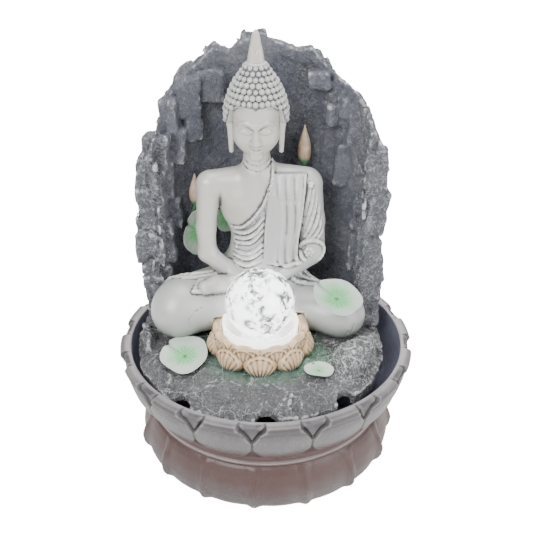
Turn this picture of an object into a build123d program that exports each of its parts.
"""Tabletop water fountain: a lotus basin on a lotus foot, holding a cast rock insert that carries a
rock grotto, a seated figure, lily pads and buds, and a lit glass ball that spins in a clear cup on a
water jet. A small submersible pump stands on the basin floor under the insert.

Millimetres. +Z is up, the figure looks along -Y, and the origin is on the table under the basin's axis.
"""

import os
from math import cos, radians, sin, sqrt

from build123d import *

# ---------------------------------------------------------------- driving dimensions
# basin and foot
rim_r = 100.0  # inner radius of the basin's lip
rim_z = 83.0  # height of the lip
wall = 3.0  # basin wall
lip_swell = 1.5  # how far the lip's outside stands out past the wall below it
petal_count = 16
petal_turn = 6.25  # angle of the first petal from the front
petal_relief = 5.5  # how far an upper petal stands out of the wall
waist_in = 12.0  # how far the ring between basin and foot lies inside the lip's inner radius
waist_z = 36.0  # height of the joint face between basin and foot
waist_flange = 4.0  # width of the basin's flange on the foot
floor_z = 8.0  # underside of the basin's floor
foot_in = 5.5  # the same for the foot, on the table
foot_bulge = 3.0  # how far the foot swells out above the table
foot_wall = 3.0
foot_relief = 1.6  # how far a foot petal stands out
pad_lift = 1.0  # how far the rubber pads hold the foot off the table
pad_r = 6.0
pad_inset = 1.2  # how deep the pads sit in the foot
cable_notch_w = 9.0  # notch in the back of the lip for the lead
cable_notch_d = 7.0

# rock insert
insert_x = -4.0  # the insert stands a little to one side in the basin
deck_gap = 8.0  # between the deck's edge and the lip
deck_drop = 1.0  # deck's top below the lip
deck_t = 5.0
skirt_h = 16.0  # from the deck's top down to the lugs that carry it
skirt_t = 5.0
return_notch_r = 9.0  # round notches in the deck's edge, where the water runs back
return_notch_angles = (-37.0, 3.0, 41.0)
lug_count = 6
lug_w = 8.0
lug_h = 6.0
grotto_margin = 4.0  # between the deck's edge and the grotto's sides
grotto_b = 56.0  # its depth in plan, behind its side columns
grotto_t = 15.0  # thickness of its side columns and back
grotto_y = 16.0  # where its side columns start
grotto_h = 214.0  # height over the deck

# ball, cup, lotus and light
ball_d = 50.0
ball_y = -16.0
ball_gap = 0.3  # between the ball and the ring it runs on
cup_gap = 1.0  # between the ball and the cup's wall
cup_wall = 1.5
cup_h = 13.0
cup_seat_r = 10.0
cup_seat_w = 2.0
jet_gap = 1.5  # between the cup's floor and the ball
seat_h = 11.0  # from the deck to the cup
lotus_petals = 9
lotus_petal_r = 11.5
lotus_rim_w = 10.5  # from the cup's wall to the middle of the petals
lotus_rise = 5.0  # how far the petals stand up past the cup's floor
light_r = 15.5
light_h = 14.0
light_wall = 1.7
light_opening_r = 12.5
led_count = 6
fit_gap = 0.2  # between pieces that drop into each other
running_gap = 0.05  # radial, between hose and pipe

# pump
pipe_r = 3.7  # outside of the pump's outlet and of the jet pipe
pipe_bore_r = 2.3
hose_t = 2.0
hose_foot_gap = 2.0  # between the hose and the pump's roof
jet_stub = 6.0  # how far the jet pipe hangs below the light
pump_w = 36.0
pump_l = 46.0
pump_h = 30.0
pump_lift = 5.0  # height of the suction cups
pump_wall = 2.5
spigot_h = 9.0
chamber_wall = 2.0
chamber_l = 12.0
rotor_r = 6.0
rotor_l = 11.0
can_gap = 0.6
can_t = 1.5
shaft_r = 1.0
bush_r = 2.6
bush_l = 3.0
cover_l = 11.0
blade_count = 6
slot_count = 5
slot_pitch = 5.2
slot_w = 2.4
slot_l = 12.0
slot_drop = 5.0  # how far the slots' middle lies below the pump's axis

# seated figure
body_x = -5.0
head_x = -6.5
body_y = 28.0
head_r = 16.5
hair_r = 22.0
knee_margin = 12.5  # how far inside the deck's edge the knees end

# ---------------------------------------------------------------- places worked out from them
waist_r = rim_r - waist_in
foot_r = rim_r - foot_in
floor_top = floor_z + wall
deck_z = rim_z - deck_drop
skirt_z = deck_z - skirt_h
deck_r = rim_r - deck_gap
grotto_a = deck_r - grotto_margin  # half width of the grotto in plan
inner_a = grotto_a - grotto_t  # the same for its niche
inner_b = grotto_b - grotto_t + 3
lug_bite = abs(insert_x)  # how far a lug reaches in past the skirt, so that all of them meet it
cup_floor_z = deck_z + seat_h
ball_r = ball_d / 2
cup_r = ball_r + cup_gap + cup_wall
lotus_r = cup_r + lotus_rim_w
ball_z = cup_floor_z + cup_wall + jet_gap + ball_r
cup_rim_z = cup_floor_z + cup_h
ledge_t = 3.0
light_top = cup_floor_z - ledge_t
light_bottom = light_top - light_h
pump_z = floor_top + pump_lift
pump_axis_z = pump_z + pump_h / 2
pump_top = pump_z + pump_h
spigot_top = pump_top + spigot_h
hose_r = pipe_r + running_gap
hose_bottom = pump_top + hose_foot_gap
hose_top = light_bottom - 0.5
jet_bottom = light_bottom - jet_stub
chamber_y0 = ball_y - chamber_l / 2  # open face of the pump's chamber
chamber_r = min(pump_w, pump_h) / 2 - chamber_wall
pump_back = chamber_y0 + pump_l
rotor_y0 = chamber_y0 + chamber_l
can_r = rotor_r + can_gap
can_end = rotor_y0 + rotor_l + 2.0
ring_step = 360.0 / petal_count
reach_all = 400.0  # longer than any piece, for cuts that go right through
STANDING = (Align.CENTER, Align.CENTER, Align.MIN)
HANGING = (Align.CENTER, Align.CENTER, Align.MAX)


def save(part, name):
    """Labels a finished piece and writes its STEP file."""
    part.label = name
    export_step(part, f"parts/{name}.step")


def on_circle(radius, angle, z=0.0, centre=(0.0, 0.0)):
    """A point at an angle from the front, positive towards +X."""
    a = radians(angle)
    return (centre[0] + radius * sin(a), centre[1] - radius * cos(a), z)


def facing_out(radius, angle, z=0.0):
    """A plane whose normal points out from the basin's axis, with its local y along +Z."""
    a = radians(angle)
    return Plane(origin=on_circle(radius, angle, z), x_dir=(cos(a), sin(a), 0), z_dir=(sin(a), -cos(a), 0))


def limb(start, start_r, end, end_r):
    """A tapered round limb with ball joints a little thicker than it, added to the part being built."""
    run = Vector(*end) - Vector(*start)
    joint_step = 0.6
    with Locations(start):
        Sphere(start_r)
    with Locations(end):
        Sphere(end_r)
    with Locations(Plane(origin=start, z_dir=run)):
        Cone(start_r - joint_step, end_r - joint_step, run.length, align=STANDING)


os.makedirs("parts", exist_ok=True)

# ---------------------------------------------------------------- foot
foot_bottom = pad_lift
foot_mid_z = 0.3 * waist_z
with BuildPart() as foot_petal_prisms:
    for k in range(petal_count):
        with BuildSketch(facing_out(foot_r - 14, petal_turn + k * ring_step)):
            half = 0.42 * 2 * foot_r * sin(radians(ring_step / 2))
            with BuildLine():
                Polyline((0, foot_bottom), (half * 0.9, foot_bottom + 3), (half, foot_mid_z + 6))
                ThreePointArc((half, foot_mid_z + 6), (half * 0.66, waist_z - 6), (0, waist_z - 2))
                mirror(about=Plane.YZ)
            make_face()
        extrude(amount=24)

with BuildPart() as foot_petals:
    with BuildSketch(Plane.XZ):
        with BuildLine():
            low = (foot_r + foot_relief, foot_bottom)
            high = (waist_r + foot_relief - 1, waist_z - 1)
            ThreePointArc(low, (foot_r + foot_bulge + foot_relief, foot_mid_z), high)
            Polyline(
                high,
                (waist_r - 3, waist_z - 1),
                (foot_r - 1.5, foot_mid_z),
                (foot_r - 1.5, foot_bottom),
                low,
            )
        make_face()
    revolve(axis=Axis.Z)
    add(foot_petal_prisms.part, mode=Mode.INTERSECT)

with BuildPart() as foot_ring:
    with BuildSketch(Plane.XZ):
        with BuildLine():
            outer_low, outer_high = (foot_r, foot_bottom), (waist_r, waist_z)
            ThreePointArc(outer_low, (foot_r + foot_bulge, foot_mid_z), outer_high)
            inner_high = (waist_r - waist_flange + fit_gap, waist_z)
            Line(outer_high, inner_high)
            inner_low = (foot_r - foot_wall, foot_bottom + foot_wall)
            ThreePointArc(inner_high, (foot_r + foot_bulge - foot_wall - 0.5, foot_mid_z + 1), inner_low)
            lip_in = foot_r - 2.6 * pad_r
            Polyline(inner_low, (lip_in, foot_bottom + foot_wall), (lip_in, foot_bottom), outer_low)
        make_face()
    revolve(axis=Axis.Z)
    add(foot_petals.part)
    with Locations((0, 0, foot_bottom)):
        with PolarLocations(foot_r - 1.5 * pad_r, 4, start_angle=45):
            Cylinder(pad_r + fit_gap / 2, pad_inset, align=STANDING, mode=Mode.SUBTRACT)
save(foot_ring.part, "foot_ring")

with BuildPart() as rubber_feet:
    with PolarLocations(foot_r - 1.5 * pad_r, 4, start_angle=45):
        Cylinder(pad_r, pad_lift + pad_inset, align=STANDING)
    chamfer(rubber_feet.edges().group_by(Axis.Z)[0], 0.4)
save(rubber_feet.part, "rubber_feet")

# ---------------------------------------------------------------- basin
petal_top = rim_z - 3.0
petal_low = waist_z + 5.0
notch_low = rim_z - 15.0
belly_z = petal_low + 0.46 * (petal_top - 11 - petal_low)  # height of the basin's fullest curve
with BuildPart() as petal_prisms:
    for k in range(petal_count):
        with BuildSketch(facing_out(rim_r - 14, petal_turn + k * ring_step)):
            half = (rim_r + wall + 2) * sin(radians(ring_step / 2)) - 0.8
            top_half = 0.58 * half
            with BuildLine():
                Polyline((0, petal_top), (top_half, petal_top), (half, notch_low), (half, notch_low - 8))
                ThreePointArc((half, notch_low - 8), (half * 0.7, petal_low + 6), (0, petal_low))
                mirror(about=Plane.YZ)
            make_face()
        extrude(amount=30)

wall_r = rim_r + wall
with BuildPart() as basin_petals:
    with BuildSketch(Plane.XZ):
        with BuildLine():
            low, high = (waist_r + 3, petal_low), (wall_r + petal_relief, petal_top - 4)
            ThreePointArc(low, (rim_r + 5.5, petal_low + 0.44 * (petal_top - petal_low)), high)
            Polyline(
                high,
                (wall_r + petal_relief - 1.5, petal_top),
                (rim_r + 1, petal_top),
                (rim_r + 1, petal_top - 12),
            )
            ThreePointArc((rim_r + 1, petal_top - 12), (rim_r - 3.2, belly_z), (waist_r - 1, petal_low))
            Line((waist_r - 1, petal_low), low)
        make_face()
    revolve(axis=Axis.Z)
    add(petal_prisms.part, mode=Mode.INTERSECT)

nest_r = waist_r - waist_flange  # radius of the basin just under its flange
with BuildPart() as basin:
    with BuildSketch(Plane.XZ):
        with BuildLine():
            flange_top = waist_z + 2.5
            shoulder = (wall_r, petal_top - 12)
            Polyline(
                (0, floor_z),
                (nest_r - 7, floor_z),
                (nest_r - 4, floor_z + 3),
                (nest_r, waist_z - 2),
                (nest_r, waist_z),
                (waist_r, waist_z),
                (waist_r, flange_top),
            )
            ThreePointArc((waist_r, flange_top), (rim_r - 1.2, belly_z - 1), shoulder)
            Polyline(
                shoulder,
                (wall_r, petal_top),
                (wall_r + lip_swell, petal_top + 1),
                (wall_r + lip_swell, rim_z - 0.8),
                (wall_r, rim_z),
                (rim_r, rim_z),
                (rim_r, petal_top - 11),
            )
            ThreePointArc((rim_r, petal_top - 11), (rim_r - 4.3, belly_z), (waist_r - wall, flange_top + 2))
            Polyline(
                (waist_r - wall, flange_top + 2),
                (nest_r - wall, waist_z - 2),
                (nest_r - 4 - wall, floor_top + 3),
                (nest_r - 7 - wall, floor_top),
                (0, floor_top),
                (0, floor_z),
            )
        make_face()
    revolve(axis=Axis.Z)
    add(basin_petals.part)
    # lugs that carry the insert's skirt
    lug_in = deck_r - skirt_t - lug_bite
    for k in range(lug_count):
        with BuildSketch(facing_out(lug_in, 30 + k * 360 / lug_count, skirt_z - lug_h / 2)):
            Rectangle(lug_w, lug_h)
        extrude(amount=rim_r - lug_in - 0.5)
    with Locations((0, rim_r + wall, rim_z)):
        Box(cable_notch_w, 6 * wall, 2 * cable_notch_d, mode=Mode.SUBTRACT)
save(basin.part, "basin")

# ---------------------------------------------------------------- rock insert
axis_xy = (insert_x, ball_y)
light_hole_r = light_r + fit_gap
with BuildPart() as rock_deck:
    with BuildSketch(Plane.XZ):
        with BuildLine():
            Polyline(
                (0, deck_z),
                (deck_r - 12, deck_z),
                (deck_r - 2, deck_z - 4),
                (deck_r, deck_z - 6),
                (deck_r, skirt_z),
                (deck_r - skirt_t, skirt_z),
                (deck_r - skirt_t, deck_z - deck_t - 5),
                (deck_r - skirt_t - 6, deck_z - deck_t),
                (0, deck_z - deck_t),
                (0, deck_z),
            )
        make_face()
    revolve(axis=Axis.Z)
    with Locations((0, ball_y, deck_z)):
        Cylinder(light_hole_r, 4 * deck_t, mode=Mode.SUBTRACT)
    for angle in return_notch_angles:
        with Locations(on_circle(deck_r + 1, angle, deck_z)):
            Cylinder(return_notch_r, 3 * skirt_h, mode=Mode.SUBTRACT)
    with Locations(on_circle(deck_r + 1, 180, deck_z)):
        Cylinder(cable_notch_w / 2 + 1, 3 * skirt_h, mode=Mode.SUBTRACT)
    # two boulders standing on the deck: angle, share of the deck's radius, size, turn
    for angle, reach, size, turn in ((62, 0.76, (24, 20, 15), 20), (-88, 0.80, (9, 22, 11), -8)):
        with Locations(Location(on_circle(reach * deck_r, angle, deck_z - 1), (0, 0, turn))):
            Box(*size, align=STANDING)
rock_deck_part = rock_deck.part.moved(Location((insert_x, 0, 0)))
save(rock_deck_part, "rock_deck")

with BuildPart() as grotto:
    with BuildSketch(Plane.XY.offset(deck_z)):
        with Locations((0, grotto_y)):
            Ellipse(grotto_a, grotto_b)
            Ellipse(grotto_a - grotto_t, grotto_b - grotto_t + 3, mode=Mode.SUBTRACT)
        with Locations((0, grotto_y)):
            Rectangle(3 * grotto_a, 3 * grotto_b, align=(Align.CENTER, Align.MAX), mode=Mode.SUBTRACT)
    extrude(amount=grotto_h)
    # the arch, cut to a stepped outline
    with BuildSketch(Plane.XZ.offset(-grotto_y - 1.5 * grotto_b)):
        steps = (
            (-0.97, 0.0), (-1.0, 0.2), (-1.02, 0.62), (-0.94, 0.66), (-0.91, 0.72), (-0.82, 0.74),
            (-0.80, 0.81), (-0.64, 0.84), (-0.60, 0.91), (-0.48, 0.95), (-0.31, 0.94), (-0.25, 0.99),
            (0.03, 1.0), (0.20, 0.985), (0.30, 0.97), (0.42, 0.93), (0.57, 0.87), (0.70, 0.83),
            (0.80, 0.79), (0.85, 0.70), (0.93, 0.65), (0.99, 0.60), (1.0, 0.35), (0.97, 0.0),
        )
        with BuildLine():
            Polyline(*[(u * grotto_a, deck_z + v * grotto_h) for u, v in steps], close=True)
        make_face()
    extrude(amount=3 * grotto_b, mode=Mode.INTERSECT)
    # column blocks standing proud of the arch's front edge
    for side in (-1, 1):
        for k in range(6):
            width = 15 + 4 * sin(2.1 * k + side)
            height = 26 + 6 * cos(1.7 * k - side)
            place = (side * (grotto_a - 9.5), grotto_y + 3 + 2 * cos(3 * k), deck_z + 14 + 20 * k)
            with Locations(Location(place, (0, 0, 4 * sin(5 * k + side)))):
                Box(width, 18, height)
with BuildPart() as grotto_wall:
    add(grotto.part.moved(Location((insert_x, 0, 0))))
    add(rock_deck_part, mode=Mode.SUBTRACT)
grotto_part = grotto_wall.part
save(grotto_part, "grotto_wall")

# ---------------------------------------------------------------- seated figure
hip_z = deck_z + 24
knee_y = body_y - 22
with BuildPart() as figure:
    # robe and trunk: height, half width, half depth, place
    for z, a, b, y in (
        (deck_z, 40, 24, body_y),
        (deck_z + 40, 30, 20, body_y),
        (deck_z + 70, 20.5, 14, body_y),
        (deck_z + 94, 28, 16, body_y),
        (deck_z + 112, 35, 14.5, body_y),
        (deck_z + 122, 22, 11, body_y),
    ):
        with BuildSketch(Plane((body_x, y, z))):
            Ellipse(a, b)
    loft(ruled=True)
    with Locations((head_x, body_y - 4, deck_z + 112)):
        Cylinder(9.5, 36, align=STANDING)
    # arms, down to the hands in the lap
    for side in (-1, 1):
        shoulder = (body_x + side * 35, body_y - 1, deck_z + 108)
        elbow = (body_x + side * 41, body_y - 8, deck_z + 66)
        wrist = (body_x + side * 14, body_y - 20, deck_z + 45)
        limb(shoulder, 10, elbow, 8)
        limb(elbow, 8, wrist, 5.5)
    # crossed legs, and the foot that lies on the left one
    for side, knee_r, shin_z in ((-1, 20.0, 24.0), (1, 15.5, 16.0)):
        knee = (body_x + side * (deck_r - knee_margin - knee_r), knee_y, deck_z + knee_r + 1)
        limb((body_x + side * 18, body_y + 2, hip_z), 18, knee, knee_r)
        limb(knee, knee_r, (body_x + side * 14, body_y - 16, deck_z + shin_z), 12.5)
    limb((body_x - 30, body_y - 29, deck_z + 42), 6.5, (body_x - 42, body_y - 29, deck_z + 41), 4.5)
    with Locations((body_x, 0, deck_z)):
        Box(reach_all, reach_all, reach_all, align=HANGING, mode=Mode.SUBTRACT)
    # the lotus stands in a hollow cut from the legs
    with Locations((*axis_xy, deck_z)):
        Cylinder(lotus_r + 3.6, 2 * seat_h + 26, mode=Mode.SUBTRACT)
    with Locations((*axis_xy, deck_z)):
        Cylinder(ball_r + 2.5, reach_all, mode=Mode.SUBTRACT)

head_z = deck_z + 161
with BuildPart() as head:
    with BuildSketch(Plane.XZ):
        with BuildLine():
            chin, crown = (0, head_z - 22), (0, head_z + 22)
            ThreePointArc(chin, (head_r, head_z), crown)
            Line(crown, chin)
        make_face()
    revolve(axis=Axis.Z)
    # hair, the bun over it and the flame
    with BuildSketch(Plane.XZ):
        with BuildLine():
            side_low, bun_low, bun_top = (hair_r - 3, head_z - 4), (hair_r - 7, head_z + 24), (8, head_z + 38)
            ThreePointArc(side_low, (hair_r, head_z + 8), bun_low)
            Line(bun_low, bun_top)
            Polyline(bun_top, (5.8, head_z + 39), (4.6, head_z + 50), (1.6, head_z + 61), (0, head_z + 61))
            Polyline((0, head_z + 61), (0, head_z - 4), side_low)
        make_face()
    revolve(axis=Axis.Z)
    # long ears
    for side in (-1, 1):
        limb((side * (hair_r - 4), 0, head_z + 2), 3, (side * (head_r + 0.5), -1, head_z - 20), 2.2)
    with Locations((0, -hair_r, head_z - 6)):
        Box(2 * head_r - 2, 18, 26, mode=Mode.SUBTRACT)
    with Locations((0, 0, head_z - 6)):
        Sphere(head_r)

with BuildPart() as seated_figure:
    add(figure.part)
    add(head.part.moved(Location((head_x, body_y - 8, 0))))
    # room for the grotto's side columns
    with Locations((insert_x, grotto_y - 8.5, deck_z)):
        for side in (-1, 1):
            with Locations((side * (inner_a - 5), 0)):
                Box(
                    60,
                    80,
                    grotto_h,
                    align=(Align.MIN if side > 0 else Align.MAX, Align.MIN, Align.MIN),
                    mode=Mode.SUBTRACT,
                )
    add(rock_deck_part, mode=Mode.SUBTRACT)
save(seated_figure.part, "seated_figure")

# ---------------------------------------------------------------- lotus that carries the cup
with BuildPart() as lotus:
    with BuildSketch(Plane.XZ):
        with BuildLine():
            Polyline(
                (light_hole_r, deck_z),
                (lotus_r - 6, deck_z),
                (lotus_r - 2, deck_z + 6),
                (lotus_r - 4, cup_floor_z + lotus_rise),
                (cup_r + 1, cup_floor_z + lotus_rise),
                (cup_r + 1, cup_floor_z),
                (light_opening_r, cup_floor_z),
                (light_opening_r, light_top),
                (light_hole_r, light_top),
                close=True,
            )
        make_face()
    revolve(axis=Axis.Z)
    petal_z = deck_z + 0.8 * lotus_petal_r
    with Locations((0, 0, petal_z)):
        with PolarLocations(lotus_r + 2 - lotus_petal_r, lotus_petals, start_angle=-90):
            Sphere(lotus_petal_r)
    with Locations((0, 0, deck_z)):
        Cylinder(2 * lotus_r, 40, align=HANGING, mode=Mode.SUBTRACT)
        Cylinder(light_hole_r, seat_h - ledge_t, align=STANDING, mode=Mode.SUBTRACT)
    with Locations((0, 0, cup_floor_z)):
        Cylinder(cup_r + 1, 60, align=STANDING, mode=Mode.SUBTRACT)
lotus_part = lotus.part.moved(Location((*axis_xy, 0)))
save(lotus_part, "lotus_seat")

# ---------------------------------------------------------------- clear cup and ball
seat_top = ball_z - sqrt((ball_r + ball_gap) ** 2 - cup_seat_r**2)
with BuildPart() as cup:
    with BuildSketch(Plane.XZ):
        with BuildLine():
            Polyline(
                (pipe_r + 0.4, cup_floor_z),
                (cup_r - 4, cup_floor_z),
                (cup_r - 1, cup_floor_z + 4),
                (cup_r, cup_rim_z - 1),
                (cup_r, cup_rim_z),
                (cup_r - cup_wall, cup_rim_z),
                (cup_r - cup_wall - 1, cup_floor_z + 4.5),
                (cup_r - 4.6, cup_floor_z + cup_wall),
                (cup_seat_r + cup_seat_w, cup_floor_z + cup_wall),
                (cup_seat_r, seat_top),
                (cup_seat_r - 1, seat_top - 0.45),
                (cup_seat_r - cup_seat_w, cup_floor_z + cup_wall),
                (pipe_r + 0.4, cup_floor_z + cup_wall),
                close=True,
            )
        make_face()
    revolve(axis=Axis.Z)
save(cup.part.moved(Location((*axis_xy, 0))), "ball_cup")

with BuildPart() as ball:
    with Locations((*axis_xy, ball_z)):
        Sphere(ball_r)
save(ball.part, "glass_ball")

# ---------------------------------------------------------------- light and jet
with BuildPart() as light_housing:
    with Locations((*axis_xy, light_bottom)):
        Cylinder(light_r, light_h, align=STANDING)
    with Locations((*axis_xy, light_bottom + light_wall)):
        Cylinder(light_r - light_wall, light_h, align=STANDING, mode=Mode.SUBTRACT)
    with Locations((*axis_xy, light_bottom)):
        Cylinder(light_r - 4, 0.45 * light_h, align=STANDING)
        Cylinder(pipe_r + 3 * running_gap, 3 * light_h, mode=Mode.SUBTRACT)
save(light_housing.part, "light_housing")

board_z = light_bottom + 0.45 * light_h
with BuildPart() as led_board:
    with Locations((*axis_xy, board_z)):
        Cylinder(light_r - light_wall - fit_gap, 1.2, align=STANDING)
        Cylinder(pipe_r + 0.8, 6, mode=Mode.SUBTRACT)
save(led_board.part, "led_board")

with BuildPart() as led_chips:
    with Locations((*axis_xy, board_z + 1.2)):
        with PolarLocations(0.6 * light_r, led_count):
            Box(3.0, 3.0, 1.4, align=STANDING)
save(led_chips.part, "led_chips")

with BuildPart() as light_lens:
    with Locations((*axis_xy, light_top - 3)):
        Cylinder(light_r - light_wall - running_gap, 3, align=STANDING)
        Cylinder(pipe_r + 3 * running_gap, 12, mode=Mode.SUBTRACT)
save(light_lens.part, "light_lens")

jet_top = ball_z - ball_r - 1.0
with BuildPart() as jet_pipe:
    with Locations((*axis_xy, jet_bottom)):
        Cylinder(pipe_r, jet_top - jet_bottom, align=STANDING)
        Cylinder(pipe_bore_r, 3 * (jet_top - jet_bottom), mode=Mode.SUBTRACT)
save(jet_pipe.part, "jet_pipe")

with BuildPart() as hose:
    with Locations((*axis_xy, hose_bottom)):
        Cylinder(hose_r + hose_t, hose_top - hose_bottom, align=STANDING)
        Cylinder(hose_r, 3 * (hose_top - hose_bottom), mode=Mode.SUBTRACT)
save(hose.part, "hose")

# ---------------------------------------------------------------- plants
# name, place as shares of the deck's radius, half sizes, thickness, lift over the deck, tilt about X and Y
for name, u, v, a, b, thick, lift, tilt in (
    ("lily_pad_left", -0.587, -0.337, 17, 20, 6, 0, (0, 0)),
    ("lily_pad_knee", 0.598, -0.054, 18.5, 17, 3.5, 34, (20, 12)),
    ("lily_pad_small", 0.446, -0.511, 10.5, 8, 4, 0, (0, 0)),
):
    with BuildPart() as lily_pad:
        with BuildSketch():
            Ellipse(a, b)
        extrude(amount=thick)
        chamfer(lily_pad.edges().group_by(Axis.Z)[0], thick / 3)
    with BuildPart() as placed_pad:
        place = (insert_x + u * deck_r, v * deck_r, deck_z + lift)
        add(lily_pad.part.moved(Location(place, (*tilt, 0))))
        add(lotus_part, mode=Mode.SUBTRACT)
    save(placed_pad.part, name)


def niche_y(x):
    """Where the grotto's inner face is, at a distance from the middle plane."""
    return grotto_y + inner_b * sqrt(1 - ((x - insert_x) / inner_a) ** 2)


stem_r = 1.2
stem_l = 2.0  # between a bud and the rock
stem_gap = 0.8  # left between the stem's end and the rock
# name, place as a share of the niche's half width, height over the deck, half sizes
for name, u, z, half_w, half_h in (
    ("lotus_bud_left", -0.658, 101, 5, 13),
    ("lotus_bud_right", 0.438, 133, 5, 16),
):
    x = insert_x + u * inner_a
    with BuildPart() as bud:
        with BuildSketch(Plane.XZ):
            with BuildLine():
                foot, widest, tip = (0, -half_h), (half_w, -0.25 * half_h), (0.5, half_h)
                ThreePointArc(foot, (0.82 * half_w, -0.72 * half_h), widest)
                ThreePointArc(widest, (0.74 * half_w, 0.4 * half_h), tip)
                Polyline(tip, (0, half_h), foot)
            make_face()
        revolve(axis=Axis.Z)
        # stem that holds it on the rock
        with Locations((0, 0, -0.4 * half_h)):
            Cylinder(stem_r, half_w + stem_l, rotation=(-90, 0, 0), align=STANDING)
    save(bud.part.moved(Location((x, niche_y(x) - half_w - stem_l - stem_gap, deck_z + z))), name)

leaf_x = insert_x - 0.658 * inner_a
leaf_turn = radians(38)  # the leaf lies along the niche's curve
with BuildPart() as wall_leaf:
    leaf_plane = Plane(
        origin=(leaf_x, niche_y(leaf_x) - 6, deck_z + 66),
        x_dir=(cos(leaf_turn), sin(leaf_turn), 0),
        z_dir=(sin(leaf_turn), -cos(leaf_turn), 0),
    )
    with BuildSketch(leaf_plane):
        Ellipse(14, 19)
    extrude(amount=2.5)
save(wall_leaf.part, "wall_leaf")

# ---------------------------------------------------------------- pump
pump_x = insert_x
# the pump's own plane: its normal points to the back
along = Plane(origin=(pump_x, chamber_y0, pump_axis_z), x_dir=(1, 0, 0), z_dir=(0, 1, 0))
with BuildPart() as pump_body:
    with BuildSketch(along):
        RectangleRounded(pump_w, pump_h, 4)
    extrude(amount=pump_l)
    with BuildSketch(along):
        Circle(chamber_r)
    extrude(amount=chamber_l, mode=Mode.SUBTRACT)
    # motor space, open at the back, around the can that the rotor turns in
    motor_y = chamber_l + can_t + 1
    with BuildSketch(along.offset(motor_y)):
        RectangleRounded(pump_w - 2 * pump_wall, pump_h - 2 * pump_wall, 2)
    extrude(amount=pump_l, mode=Mode.SUBTRACT)
    with BuildSketch(along.offset(motor_y - 1)):
        Circle(can_r + can_t)
    extrude(amount=can_end + can_t - chamber_y0 - motor_y + 1)
    with BuildSketch(along.offset(chamber_l - 0.5)):
        Circle(can_r)
    extrude(amount=can_end - rotor_y0 - 1, mode=Mode.SUBTRACT)
    with BuildSketch(along.offset(chamber_l)):
        Circle(shaft_r + running_gap)
    extrude(amount=can_end - rotor_y0 + 0.2, mode=Mode.SUBTRACT)
    with Locations((*axis_xy, pump_top - 1)):
        Cylinder(pipe_r, spigot_h + 1, align=STANDING)
    with Locations((*axis_xy, pump_axis_z + 6)):
        Cylinder(pipe_bore_r, 60, align=STANDING, mode=Mode.SUBTRACT)
    cup_spots = [(pump_x + sx * 12, y, pump_z) for sx in (-1, 1) for y in (chamber_y0 + 7, pump_back - 8)]
    with Locations(*cup_spots):
        Cylinder(2.0 + running_gap, 3, mode=Mode.SUBTRACT)
save(pump_body.part, "pump_body")

with BuildPart() as suction_cup:
    with BuildSketch(Plane.XZ):
        with BuildLine():
            Polyline((0, floor_top + 1.6), (4.6, floor_top), (6, floor_top), (2.4, floor_top + 3.4))
            Polyline((2.4, floor_top + 3.4), (2.4, pump_z), (2, pump_z), (2, pump_z + 1.4), (0, pump_z + 1.4))
            Line((0, pump_z + 1.4), (0, floor_top + 1.6))
        make_face()
    revolve(axis=Axis.Z)

with BuildPart() as suction_cups:
    with Locations(*[(x, y, 0) for x, y, _ in cup_spots]):
        add(suction_cup.part)
save(suction_cups.part, "suction_cups")

plate_t = 2.0
gland_r = 2.6
gland_drop = 6.0  # below the pump's axis
lead_r = 1.5  # room for the lead
with BuildPart() as pump_back_plate:
    with BuildSketch(along.offset(pump_l - plate_t)):
        RectangleRounded(pump_w - 2 * pump_wall - fit_gap, pump_h - 2 * pump_wall - fit_gap, 1.9)
        with Locations((0, -gland_drop)):
            Circle(gland_r + running_gap, mode=Mode.SUBTRACT)
    extrude(amount=plate_t)
save(pump_back_plate.part, "pump_back_plate")

with BuildPart() as cable_gland:
    with BuildSketch(along.offset(pump_l - plate_t - 1)):
        with Locations((0, -gland_drop)):
            Circle(gland_r)
    extrude(amount=plate_t + 1)
    with BuildSketch(along.offset(pump_l)):
        with Locations((0, -gland_drop)):
            Circle(gland_r + 1)
    extrude(amount=5, taper=6)
    with BuildSketch(along.offset(pump_l + 1)):
        with Locations((0, -gland_drop)):
            Circle(lead_r)
    extrude(amount=6, mode=Mode.SUBTRACT)
save(cable_gland.part, "cable_gland")

core_y = motor_y + 1
core_l = pump_l - plate_t - core_y - 2
core_x = can_r + can_t + 3.2  # from the axis to the middle of a pole
pole_w = 4.6
pole_h = 14.0
yoke_t = 4.0
with BuildPart() as stator_core:
    for side in (-1, 1):
        with BuildSketch(along.offset(core_y)):
            with Locations((side * core_x, 0)):
                Rectangle(pole_w, pole_h)
        extrude(amount=core_l)
    with BuildSketch(along.offset(core_y + core_l - yoke_t)):
        Rectangle(2 * core_x, pole_h)
    extrude(amount=yoke_t)
save(stator_core.part, "stator_core")

coil_y = can_end + can_t - chamber_y0 + 1.2
coil_l = core_y + core_l - yoke_t - coil_y - 0.6
with BuildPart() as coils:
    for side in (-1, 1):
        with BuildSketch(along.offset(coil_y)):
            with Locations((side * core_x, 0)):
                Rectangle(pole_w + 2, pole_h + 5)
                Rectangle(pole_w + running_gap * 2, pole_h + fit_gap, mode=Mode.SUBTRACT)
        extrude(amount=coil_l)
save(coils.part, "coils")

with BuildPart() as rotor_magnet:
    with BuildSketch(along.offset(chamber_l)):
        Circle(rotor_r)
        Circle(shaft_r + running_gap, mode=Mode.SUBTRACT)
    extrude(amount=rotor_l)
save(rotor_magnet.part, "rotor_magnet")

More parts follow.
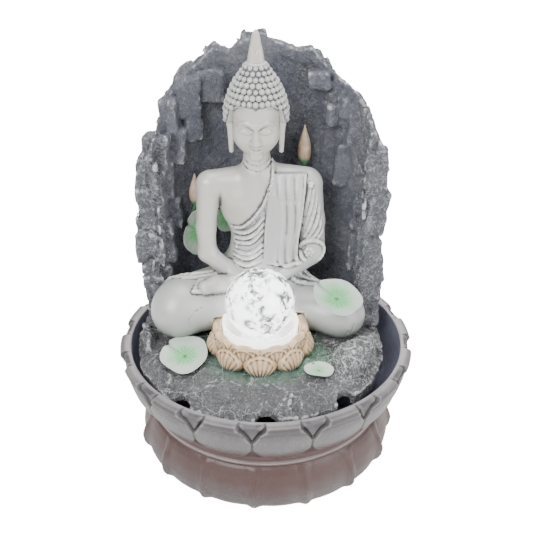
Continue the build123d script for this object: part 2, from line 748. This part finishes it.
hub_r = 3.6
blade_r = chamber_r - 1.6
with BuildPart() as impeller:
    with BuildSketch(along.offset(chamber_l - 2.0)):
        Circle(blade_r)
        Circle(shaft_r + running_gap, mode=Mode.SUBTRACT)
    extrude(amount=1.4)
    with BuildSketch(along.offset(2.4)):
        Circle(hub_r)
        Circle(shaft_r + running_gap, mode=Mode.SUBTRACT)
    extrude(amount=chamber_l - 3.4)
    with BuildSketch(along.offset(3.6)):
        with PolarLocations((hub_r + blade_r) / 2, blade_count):
            Rectangle(blade_r - hub_r + 0.6, 1.2)
    extrude(amount=chamber_l - 5)
    with BuildSketch(along.offset(chamber_l - 1)):
        Circle(hub_r)
        Circle(shaft_r + running_gap, mode=Mode.SUBTRACT)
    extrude(amount=1)
save(impeller.part, "impeller")

with BuildPart() as pump_shaft:
    with BuildSketch(along.offset(-3.5)):
        Circle(shaft_r)
    extrude(amount=can_end - chamber_y0 + 3.5)
save(pump_shaft.part, "pump_shaft")

with BuildPart() as front_bush:
    with BuildSketch(along.offset(-3.8)):
        Circle(bush_r)
        Circle(shaft_r + running_gap, mode=Mode.SUBTRACT)
    extrude(amount=bush_l)
save(front_bush.part, "front_bush")

seal_t = 1.0
with BuildPart() as chamber_seal:
    with BuildSketch(along.offset(0.2)):
        Circle(chamber_r - 0.1)
        Circle(chamber_r - 1.3, mode=Mode.SUBTRACT)
    extrude(amount=seal_t)
save(chamber_seal.part, "chamber_seal")

with BuildPart() as pump_cover:
    with BuildSketch(along):
        RectangleRounded(pump_w, pump_h, 4)
    extrude(amount=-cover_l)
    with BuildSketch(along):
        RectangleRounded(pump_w - 2 * pump_wall, pump_h - 2 * pump_wall, 2)
    extrude(amount=-(cover_l - pump_wall), mode=Mode.SUBTRACT)
    # the spider that holds the front bush
    with BuildSketch(along.offset(-0.2)):
        Circle(bush_r + 1.4)
        Rectangle(pump_w - 1.5 * pump_wall, 3)
    extrude(amount=-4)
    with BuildSketch(along):
        Circle(bush_r + running_gap)
    extrude(amount=-3.8, mode=Mode.SUBTRACT)
    # inlet slots
    with BuildSketch(along.offset(-cover_l + 4)):
        with GridLocations(slot_pitch, 1, slot_count, 1):
            with Locations((0, -slot_drop)):
                Rectangle(slot_w, slot_l)
    extrude(amount=-8, mode=Mode.SUBTRACT)
save(pump_cover.part, "pump_cover")

with BuildPart() as flow_slide:
    with BuildSketch(along.offset(-cover_l - fit_gap)):
        Rectangle(slot_count * slot_pitch + 2, slot_l + 3)
        with GridLocations(slot_pitch, 1, slot_count, 1):
            with Locations((0, -slot_drop)):
                Rectangle(slot_w + fit_gap, slot_l + 2 * fit_gap, mode=Mode.SUBTRACT)
    extrude(amount=-1.4)
    with BuildSketch(along.offset(-cover_l - fit_gap - 1)):
        with Locations((0, slot_drop)):
            Rectangle(4, 3)  # the thumb stud
    extrude(amount=-2.4)
save(flow_slide.part, "flow_slide")
